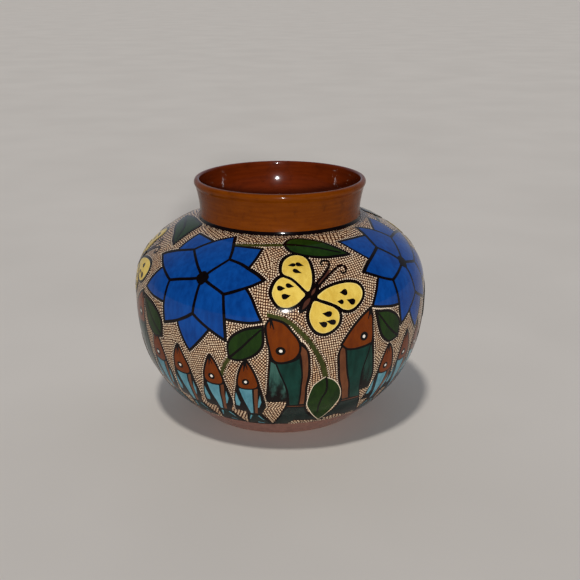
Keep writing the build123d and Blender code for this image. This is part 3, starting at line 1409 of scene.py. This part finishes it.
@dataclass(frozen=True)
class Leaf:
    """A pointed leaf with a dark rib, with or without a stem that is drawn away from its base."""

    left: tuple[Point, ...]
    right: tuple[Point, ...]
    rib: tuple[Point, ...]
    stem: tuple[Point, ...] = ()
    stem_width: float = 2.6
    line: float = 1.45
    rib_width: float = 1.7
    pale_edge: float = 0.0
    halo_gap: float = 0.65
    stem_gap: float = 0.8

    def sketch(self) -> Sketch:
        """Draw the leaf by itself.

        Returns:
            The drawing.
        """
        sketch = Sketch()
        outline = join(self.left, self.right)
        if self.stem:
            stem = smooth(self.stem)
            sketch.stroke(stem, self.stem_width, Pigment.STEM, 0, self.stem_width * 0.75)
            for side in (-1, 1):
                sketch.dot_row(beside(stem, side * (self.stem_width / 2 + self.stem_gap)))
        if self.pale_edge:
            sketch.patch(outline, Pigment.CREAM, 9)
            sketch.patch(grow(outline, -self.pale_edge), Pigment.LEAF, 10)
        else:
            sketch.halo(outline, self.line + self.halo_gap)
            sketch.outlined(outline, Pigment.LEAF, self.line, 10)
        sketch.stroke(smooth(self.rib), self.rib_width, Pigment.BLACK, 12, self.rib_width * 0.55)
        return sketch.prepare()


SIDE_LEAF = Leaf(
    left=((-30.0, 81.5), (-30.4, 88.8), (-27.3, 94.4), (-20.7, 98.3), (-11.0, 100.6)),
    right=((-11.0, 100.6), (-11.2, 90.8), (-16.6, 83.9), (-23.9, 80.5), (-30.0, 81.5)),
    rib=((-30.0, 81.5), (-21.6, 89.2), (-11.2, 99.8)),
    stem=((-30.0, 81.5), (-33.0, 76.2), (-34.9, 71.2), (-35.6, 67.5)),
)
FAR_SIDE_LEAF = Leaf(
    left=((-30.0, 81.5), (-30.6, 88.8), (-27.6, 94.4), (-21.0, 98.6), (-11.4, 101.0)),
    right=((-11.4, 101.0), (-12.8, 95.7), (-15.4, 87.2), (-19.4, 82.3), (-23.6, 80.2), (-30.0, 81.5)),
    rib=((-30.0, 81.5), (-21.8, 88.6), (-11.6, 100.6)),
)
LOW_LEAF = Leaf(
    left=((4.2, 68.0), (1.5, 66.5), (-1.6, 64.2), (-3.5, 61.7), (-4.9, 56.6), (-5.6, 50.5), (-5.4, 45.8),
          (-1.6, 37.7), (5.8, 25.0)),
    right=((5.8, 25.0), (10.8, 36.6), (13.6, 43.9), (15.3, 49.6), (15.2, 55.9), (13.4, 60.7), (10.1, 64.8),
           (6.5, 66.9), (4.2, 68.0)),
    rib=((4.5, 67.7), (5.7, 62.8), (5.6, 56.5), (3.2, 50.7), (2.2, 44.0), (2.8, 36.7)),
    stem=((4.6, 66.0), (4.1, 68.4), (2.0, 75.5), (-0.4, 81.7), (-3.8, 87.7), (-7.5, 93.6), (-12.2, 98.8),
          (-16.7, 102.9), (-22.2, 106.4), (-27.2, 107.9), (-30.7, 108.6)),
    stem_width=3.1,
    rib_width=1.5,
    pale_edge=0.42,
)
TOP_LEAF = Leaf(
    left=((-10.3, 34.5), (-5.6, 39.1), (2.7, 38.3), (13.6, 32.7), (26.0, 22.8)),
    right=((26.0, 22.8), (11.1, 23.3), (-0.3, 25.4), (-7.6, 29.0), (-10.3, 34.5)),
    rib=((-10.3, 34.5), (0.0, 32.8), (10.6, 29.1), (22.0, 24.2)),
    stem=((-10.3, 34.5), (-20.2, 34.2), (-30.4, 33.4), (-41.0, 32.2)),
    stem_width=2.1,
)
FAR_TOP_LEAF = Leaf(
    left=((-8.0, 36.5), (2.0, 41.6), (13.0, 43.2), (22.4, 41.4), (28.6, 31.6), (31.6, 22.0)),
    right=((31.6, 22.0), (24.0, 25.0), (16.4, 28.4), (4.0, 31.0), (-8.0, 36.5)),
    rib=((-8.0, 36.5), (6.0, 36.4), (18.0, 33.6), (29.0, 24.6)),
)

Lines = tuple[tuple[Point, ...], ...]


@dataclass(frozen=True)
class BigFish:
    """A large fish that swims up the wall, with a straight back on its left and a stripe on its right."""

    back: tuple[Point, ...]
    tail: Lines
    side: tuple[Point, ...]
    head: Lines
    eye: tuple[Point, float, float]
    fields: tuple[tuple[Pigment, Lines], ...]
    tail_line: tuple[Point, Point]
    line: float = 1.4
    nose_points: int = 5
    side_gap: float = 0.75
    nose_gap: float = 0.65

    def sketch(self) -> Sketch:
        """Draw the fish about its eye's line, with lengths up the wall.

        Returns:
            The drawing.
        """
        sketch = Sketch()
        sketch.patch(join(self.back, *self.tail, self.side), Pigment.BLACK, 0)
        for points in (self.back, self.side):
            sketch.dot_row(beside(smooth(points), -self.side_gap))
        sketch.dot_row(beside(smooth(self.head[0][: self.nose_points]), self.line + self.nose_gap))
        for pigment, lines in self.fields:
            sketch.patch(join(*lines), pigment, 1)
        sketch.stroke([Vector(p) for p in self.tail_line], 0.6, Pigment.STRIPE, 1)
        sketch.outlined(join(*self.head), Pigment.BROWN, self.line, 2)
        self.face(sketch)
        return sketch.prepare()

    def face(self, sketch: Sketch) -> None:
        """Draw the eye and the dark tuft at the mouth."""
        centre, width, height = self.eye
        sketch.patch(oval(centre, width, height), Pigment.BLACK, 4)
        sketch.patch(oval((centre[0] + 0.2, centre[1]), width * 0.35, height * 0.37, 10), Pigment.WHITE, 5)
        nose = Vector(self.head[0][0])
        for end, width in (((1.8, -5.4), 1.7), ((-0.4, -4.8), 1.3)):
            sketch.stroke([nose, nose + Vector(end)], width, Pigment.BLACK, 4, 0.4)


FIRST_FISH = BigFish(
    back=((-6.7, 94.0), (-6.8, 88.0), (-7.0, 76.0), (-7.8, 62.0), (-9.2, 49.8)),
    tail=(
        ((-9.2, 49.8), (3.2, 49.6)),
        ((3.2, 49.6), (1.2, 40.5), (-2.0, 31.5), (-5.4, 21.4)),
        ((-5.4, 21.4), (4.0, 21.4)),
        ((4.0, 21.4), (7.8, 27.6)),
        ((7.8, 27.6), (28.0, 22.9)),
        ((28.0, 22.9), (20.5, 33.0), (16.6, 39.0), (15.0, 46.0)),
    ),
    side=((15.0, 46.0), (15.6, 59.7), (17.0, 67.6), (17.6, 75.1), (16.8, 83.4), (14.4, 89.4), (11.0, 93.2)),
    head=(
        ((-5.6, 105.6), (0.8, 103.4), (5.9, 98.4), (9.4, 93.9), (10.7, 90.0), (10.0, 85.6), (6.9, 81.7),
         (1.7, 79.8), (-2.4, 80.1), (-4.7, 82.9), (-6.2, 89.7), (-7.4, 96.3), (-7.9, 102.0), (-5.6, 105.6)),
    ),
    eye=((0.2, 86.9), 5.9, 5.4),
    fields=(
        (Pigment.FIN, (
            ((-5.7, 80.0), (-3.1, 78.2)),
            ((-3.1, 78.2), (-0.6, 72.0), (1.6, 66.0), (3.1, 57.6), (3.4, 51.2)),
            ((-8.1, 51.2), (-6.9, 60.0), (-6.2, 70.0), (-5.7, 80.0)),
        )),
        (Pigment.TEAL, (
            ((-2.5, 79.0), (1.6, 78.4), (6.6, 79.4), (10.6, 81.6)),
            ((10.6, 81.6), (11.6, 76.0), (12.0, 69.9), (11.3, 59.9), (9.8, 47.0)),
            ((5.1, 46.9), (4.4, 58.0), (1.6, 69.0), (-2.5, 79.0)),
        )),
        (Pigment.STRIPE, (
            ((12.0, 89.6), (11.4, 85.2)),
            ((11.4, 85.2), (12.5, 79.1), (13.0, 69.9), (12.3, 59.9), (10.8, 47.2)),
            ((13.5, 47.2), (14.5, 59.7), (15.9, 71.5), (16.2, 77.6), (15.2, 84.7), (14.3, 87.2),
             (12.0, 89.6)),
        )),
        (Pigment.SLATE, (
            ((4.0, 44.3), (13.8, 43.8)),
            ((13.8, 43.8), (15.6, 37.0), (18.6, 31.4), (25.0, 25.0)),
            ((25.0, 25.0), (8.0, 29.0)),
            ((8.0, 29.0), (3.6, 22.6)),
            ((-4.0, 22.6), (-0.6, 32.0), (2.4, 40.0), (4.0, 44.3)),
        )),
    ),
    tail_line=((3.7, 45.7), (13.8, 45.2)),
)
SECOND_FISH = BigFish(
    back=((-8.2, 98.0), (-8.8, 86.5), (-10.2, 74.4), (-11.8, 60.0), (-11.9, 48.8)),
    tail=(
        ((-11.9, 48.8), (-5.0, 48.1)),
        ((-5.0, 48.1), (-6.6, 43.0), (-10.0, 34.0), (-13.4, 21.6)),
        ((-13.4, 21.6), (-2.0, 21.6)),
        ((-2.0, 21.6), (2.6, 25.6)),
        ((2.6, 25.6), (16.8, 22.0)),
        ((16.8, 22.0), (10.6, 33.0), (7.8, 42.4)),
    ),
    side=((7.8, 42.4), (11.4, 56.6), (13.5, 64.2), (15.2, 72.6), (15.2, 78.8), (12.8, 84.6)),
    head=(
        ((-6.3, 103.3), (-0.2, 99.4), (5.4, 94.4), (9.5, 89.6), (12.3, 84.9)),
        ((12.3, 84.9), (9.8, 82.7), (6.8, 81.9), (1.9, 81.8), (-3.3, 82.2), (-7.0, 83.0)),
        ((-7.0, 83.0), (-7.6, 88.0), (-7.5, 94.0), (-7.3, 99.0), (-6.3, 103.3)),
    ),
    eye=((-1.6, 88.1), 5.4, 5.9),
    fields=(
        (Pigment.DARK_FIN, (
            ((-7.4, 81.4), (-9.0, 74.6), (-10.4, 64.9), (-10.8, 57.4), (-10.9, 50.0)),
            ((-5.2, 49.5), (-3.3, 60.6), (-4.8, 71.1), (-7.4, 81.4)),
        )),
        (Pigment.TEAL, (
            ((-6.4, 81.2), (1.8, 80.2), (9.6, 80.9)),
            ((9.6, 80.9), (8.8, 72.9), (6.8, 64.2), (4.2, 55.4), (1.2, 44.0)),
            ((-6.0, 43.0), (-4.0, 49.3), (-2.3, 60.6), (-3.8, 71.1), (-6.4, 81.2)),
        )),
        (Pigment.STRIPE, (
            ((10.9, 81.6), (9.9, 72.9), (7.8, 63.6), (5.5, 55.7), (2.6, 44.2)),
            ((6.4, 43.9), (10.3, 56.8), (12.2, 63.9), (13.9, 73.6), (13.9, 80.1), (12.3, 83.2)),
        )),
        (Pigment.SLATE, (
            ((6.2, 41.0), (-6.4, 40.6)),
            ((-6.4, 40.6), (-9.0, 34.0), (-12.2, 22.8)),
            ((-12.2, 22.8), (-2.4, 22.8)),
            ((-2.4, 22.8), (2.4, 27.0)),
            ((2.4, 27.0), (14.6, 23.6)),
            ((14.6, 23.6), (9.4, 33.0), (6.2, 41.0)),
        )),
    ),
    tail_line=((6.2, 42.4), (-6.0, 42.0)),
)


class SmallFish:
    """One of the row of small fish, nose up, with a pale tapering flank."""

    LINE = 1.1
    SIDE_GAP = 0.75
    FLECKS = (((0.2, 34.8), (-1.8, 28.6)), ((4.6, 34.8), (6.8, 29.0)), ((2.4, 24.8), (6.4, 23.8)))

    def sketch(self) -> Sketch:
        """Draw the fish about its own middle, with lengths up the wall.

        Returns:
            The drawing.
        """
        sketch = Sketch()
        left = trace(
            (0.6, 81.4),
            ((-1.6, 78.0), (-5.0, 70.0), (-5.4, 63.4)),
            ((-7.2, 55.0), (-8.8, 47.0), (-9.0, 39.8)),
        )
        right = trace(
            (10.4, 44.8),
            ((10.6, 50.0), (10.2, 56.0), (8.8, 62.6)),
            ((8.2, 69.4), (4.4, 78.0), (1.4, 81.4)),
        )
        tail = trace(
            left[-1], ((-2.2, 38.6),), ((-4.6, 21.4),), ((12.0, 21.4),), ((7.4, 38.0),), ((10.4, 44.8),),
        )
        sketch.patch(left + tail[1:] + right[1:], Pigment.BLACK, 0)
        for line in (left, right):
            sketch.dot_row(beside(line, -self.SIDE_GAP))
        fields = (
            (Pigment.SKY, (-3.9, 60.4), ((4.2, 60.6),), ((3.6, 52.0), (2.6, 44.0), (1.7, 37.6)),
             ((0.2, 37.6),), ((-0.8, 46.0), (-2.4, 53.0), (-3.9, 60.4))),
            (Pigment.STRIPE, (5.4, 60.8), ((7.5, 61.0),), ((6.6, 52.0), (5.4, 44.0), (4.5, 37.8)),
             ((2.9, 37.8),)),
            (Pigment.SKY, (-6.3, 57.0), ((-4.6, 48.0),), ((-5.6, 44.6),), ((-7.6, 45.0),), ((-7.4, 51.0),)),
            (Pigment.SKY, (8.2, 56.0), ((8.4, 50.0),), ((6.4, 44.4),), ((5.6, 44.4),), ((6.8, 51.0),)),
            (Pigment.SLATE, (-1.2, 35.8), ((5.6, 35.8),), ((10.0, 23.0),), ((4.2, 25.4),), ((-3.4, 23.0),)),
        )
        for pigment, start, *runs in fields:
            sketch.patch(closed(trace(start, *runs)), pigment, 1)
        for start, end in self.FLECKS:
            sketch.stroke(trace(start, (end,)), 1.1, Pigment.SKY, 2, 0.5)
        self.head(sketch)
        return sketch.prepare()

    def head(self, sketch: Sketch) -> None:
        """Draw the head, its eye and the dark tuft at its mouth."""
        head = closed(trace(
            (1.0, 79.8),
            ((-0.6, 77.4), (-3.9, 70.6), (-4.2, 64.2)),
            ((-4.2, 61.2), (-1.0, 60.8), (1.5, 60.8)),
            ((5.4, 60.8), (7.6, 61.6), (7.4, 64.6)),
            ((6.6, 70.0), (3.6, 77.4), (1.0, 79.8)),
        ))
        sketch.outlined(head, Pigment.BROWN, self.LINE, 2)
        sketch.patch(oval((0.6, 65.8), 4.6, 4.6, 12), Pigment.BLACK, 4)
        sketch.patch(oval((0.7, 65.9), 1.8, 1.9, 10), Pigment.WHITE, 5)
        for end, width in (((0.0, 73.4), 1.7), ((2.2, 74.6), 1.2)):
            sketch.stroke(trace((0.9, 80.0), (end,)), width, Pigment.BLACK, 4, 0.3)


@dataclass(frozen=True)
class Panel:
    """A stretch of the painting: two big fish, leaves, a butterfly, and a flower over a row of small fish."""

    number: int
    bearing: float
    flower: Flower
    flower_turn: float
    row: tuple[Point, ...]
    flower_scale: float = 1.0
    butterfly_scale: float = 1.0
    row_scale: float = 1.0
    butterfly_turn: float = 11.3
    butterfly_length: float = 117.4
    top_leaf: Leaf = TOP_LEAF


REAR_SCALES = {"flower_scale": 0.84, "butterfly_scale": 0.86, "row_scale": 0.78}
PANELS = (
    Panel(1, 0.0, TALL_FLOWER, 60.8, ((43.5, 0.0), (55.1, 3.3), (66.0, 4.2), (76.8, 3.0))),
    Panel(2, 97.0, WIDE_FLOWER, 58.0, ((43.0, 0.0), (52.2, 2.2), (61.4, 2.8), (70.4, 1.4)), **REAR_SCALES),
    Panel(3, 180.0, TALL_FLOWER, 55.0, ((43.0, 0.0), (52.2, 2.6), (61.4, 3.2), (70.2, 2.4)), **REAR_SCALES),
    Panel(
        4, 262.0, WIDE_FLOWER, 66.2, ((43.5, 4.9), (56.7, 2.0), (71.2, 0.0), (84.8, -0.8)),
        butterfly_scale=0.9, butterfly_turn=15.0, butterfly_length=117.8, top_leaf=FAR_TOP_LEAF,
    ),
)


@dataclass
class Painting:
    """All the painted figures round the pot."""

    wall: Wall
    flower_length: float = 126.1
    low_leaf_bearing: float = 14.0
    top_leaf_bearing: float = 12.0
    top_leaf_length: float = 120.4
    pair_bearing: float = 30.1
    pair_rise: float = 2.8
    ring_heights: tuple[float, float] = (15.3, 129.93)
    foot_length: float = 21.4
    row_lift: float = 0.01
    ring_points: int = 200

    def build(self) -> None:
        """Draw each kind of figure once and wrap it onto every panel, between two rings of dots."""
        flowers = {flower: flower.sketch() for flower in (WIDE_FLOWER, TALL_FLOWER)}
        butterfly, small = Butterfly().sketch(), SmallFish().sketch()
        first_fish, second_fish = FIRST_FISH.sketch(), SECOND_FISH.sketch()
        leaves = [leaf.sketch() for leaf in (SIDE_LEAF, FAR_SIDE_LEAF, LOW_LEAF)]
        top_leaves = {leaf: leaf.sketch() for leaf in (TOP_LEAF, FAR_TOP_LEAF)}
        for panel in PANELS:
            turn = panel.bearing
            first, second = Placement(turn), Placement(turn + self.pair_bearing, self.pair_rise, True)
            leaf_places = (
                first,
                second,
                Placement(turn + self.low_leaf_bearing),
                Placement(turn + self.top_leaf_bearing, self.top_leaf_length),
            )
            flower_place = Placement(
                turn + panel.flower_turn, self.flower_length, scale=panel.flower_scale
            )
            butterfly_place = Placement(
                turn + panel.butterfly_turn, panel.butterfly_length, scale=panel.butterfly_scale
            )
            raised = self.foot_length * (1 - panel.row_scale)
            row = [
                (small, Placement(turn + bearing, rise + raised, False, panel.row_scale, k * self.row_lift))
                for k, (bearing, rise) in enumerate(panel.row)
            ]
            self.figure(f"flower_{panel.number}", [(flowers[panel.flower], flower_place)])
            self.figure(f"butterfly_{panel.number}", [(butterfly, butterfly_place)])
            self.figure(f"leaves_{panel.number}", zip([*leaves, top_leaves[panel.top_leaf]], leaf_places))
            self.figure(f"big_fish_{panel.number}", [(first_fish, first), (second_fish, second)])
            self.figure(f"fish_row_{panel.number}", row)
        for name, height in zip(("foot_dots", "neck_dots"), self.ring_heights):
            self.ring(name, self.wall.length_at(height))

    def ring(self, name: str, length: float) -> None:
        """Set a row of dots all round the pot at a length up its wall."""
        reach = math.pi * self.wall.radius(length)
        sketch = Sketch()
        sketch.dot_row([Vector((across, 0)) for across in np.linspace(-reach, reach, self.ring_points)])
        ring = Figure(name, self.wall, 0.0)
        ring.take(sketch.prepare(), Placement(0.0, length))
        ring.finish()

    def figure(self, name: str, parts: Iterable[tuple[Sketch, Placement]]) -> None:
        """Wrap drawings onto the wall as one piece."""
        figure = Figure(name, self.wall)
        for sketch, place in parts:
            figure.take(sketch, place)
        figure.finish()


# Studio


@dataclass
class Studio:
    """A plain pale floor, soft light and the camera."""

    camera_back: float = 0.600
    camera_height: float = 0.27866
    pitch: float = 0.322
    yaw: float = 0.0108
    focal_pixels: float = 947.33
    image_width: float = 580.0
    sensor: float = 36.0
    floor_radius: float = 14.0
    floor_tones: tuple[Tone, Tone] = ((219, 214, 207), (225, 220, 213))
    room: tuple[Colour, Colour] = ((0.055, 0.06, 0.075), (0.42, 0.45, 0.52))
    backdrop: Tone = (182, 174, 163)

    def build(self) -> None:
        """Set up the floor, the lights and the camera."""
        scene = bpy.context.scene
        scene.view_settings.view_transform = "Standard"
        self.floor()
        self.world(scene)
        self.light("ceiling", (-0.11, -0.31, 1.0), 5.0, 1.2, colour=(1.0, 0.955, 0.9), mirrored=False)
        self.light("front", (0.065, -0.97, 0.187), 3.1, 2.14, colour=(1.0, 1.0, 1.0), mirrored=True)
        camera = bpy.data.cameras.new("camera")
        camera.sensor_width = self.sensor
        camera.lens = self.focal_pixels / self.image_width * self.sensor
        camera.clip_start = 0.01
        holder = bpy.data.objects.new("camera", camera)
        holder.location = (0, -self.camera_back, self.camera_height)
        holder.rotation_euler = Euler((math.pi / 2 - self.pitch, 0, -self.yaw))
        scene.collection.objects.link(holder)
        scene.camera = holder

    def floor(self) -> None:
        """Lay a plain pale floor under the pot."""
        shape = bmesh.new()
        bmesh.ops.create_circle(shape, cap_ends=True, segments=96, radius=self.floor_radius)
        mesh = bpy.data.meshes.new("floor")
        shape.to_mesh(mesh)
        shape.free()
        material, sheet, shader = fresh_material("floor_paint")
        shade = sheet.ramp(sheet.noise(sheet.object_point(), 160.0, 2.0), 0.2, 0.8)
        colour = sheet.blend(shade, *(linear(*tone) for tone in self.floor_tones))
        set_shader(sheet, shader, Base_Color=colour, Roughness=0.9, Specular_IOR_Level=0.0)
        mesh.materials.append(material)
        floor = bpy.data.objects.new("floor", mesh)
        bpy.context.scene.collection.objects.link(floor)

    def world(self, scene: bpy.types.Scene) -> None:
        """Surround the pot with dim light, paler behind it, where the camera sees the floor's tone."""
        world = bpy.data.worlds.new("soft_room")
        world.use_nodes = True
        sheet = Sheet(world.node_tree)
        light = next(n for n in world.node_tree.nodes if n.type == "BACKGROUND")
        seen = sheet.add("ShaderNodeLightPath").outputs["Is Camera Ray"]
        way = sheet.add("ShaderNodeTexCoord").outputs["Generated"]
        behind = sheet.ramp(sheet.add("ShaderNodeSeparateXYZ", {0: way}).outputs[1], 0.1, 0.8)
        colour = sheet.blend(seen, sheet.blend(behind, *self.room), linear(*self.backdrop))
        world.node_tree.links.new(colour, light.inputs["Color"])
        scene.world = world

    @staticmethod
    def light(
        name: str,
        direction: tuple[float, float, float],
        spread: float,
        strength: float,
        colour: Colour,
        mirrored: bool,
    ) -> None:
        """Light the pot and the floor evenly from far off.

        Args:
            name: The light's name.
            direction: Where it comes from.
            spread: How wide it looks, in degrees.
            strength: Its strength.
            colour: Its colour.
            mirrored: Whether the varnish mirrors it.
        """
        light = bpy.data.lights.new(name, "SUN")
        light.angle = math.radians(spread)
        light.energy = strength
        light.color = colour
        holder = bpy.data.objects.new(name, light)
        holder.rotation_euler = (-Vector(direction)).to_track_quat("-Z", "Y").to_euler()
        holder.visible_glossy = mirrored
        bpy.context.scene.collection.objects.link(holder)


def dress_joints() -> None:
    """Give the solids that stay their own finishes."""
    slip = ClayFinish("slip_clay", (84, 36, 6), (62, 25, 4), (40, 16, 4), 0.24, 0.25).material()
    coil = ClayFinish("coil_clay", (104, 38, 12), (80, 26, 7), (52, 18, 6), 0.4, 0.2).material()
    for node, material in (("collar_seam_slip", slip), ("belly_seam_coil", coil)):
        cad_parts[node].material_slots[0].material = material


def main() -> None:
    """Build the pot's looks, piece by piece."""
    logging.basicConfig(level=logging.INFO, format="%(name)s: %(message)s")
    noise.seed_set(SHAKE_SEED)
    make_brushwork()
    make_varnish_swell()
    make_petatillo()
    wall = Wall.from_frame()
    Body(wall).build()
    Neck(wall).build()
    dress_joints()
    Painting(wall).build()
    Studio().build()


if __name__ == "__main__":
    main()
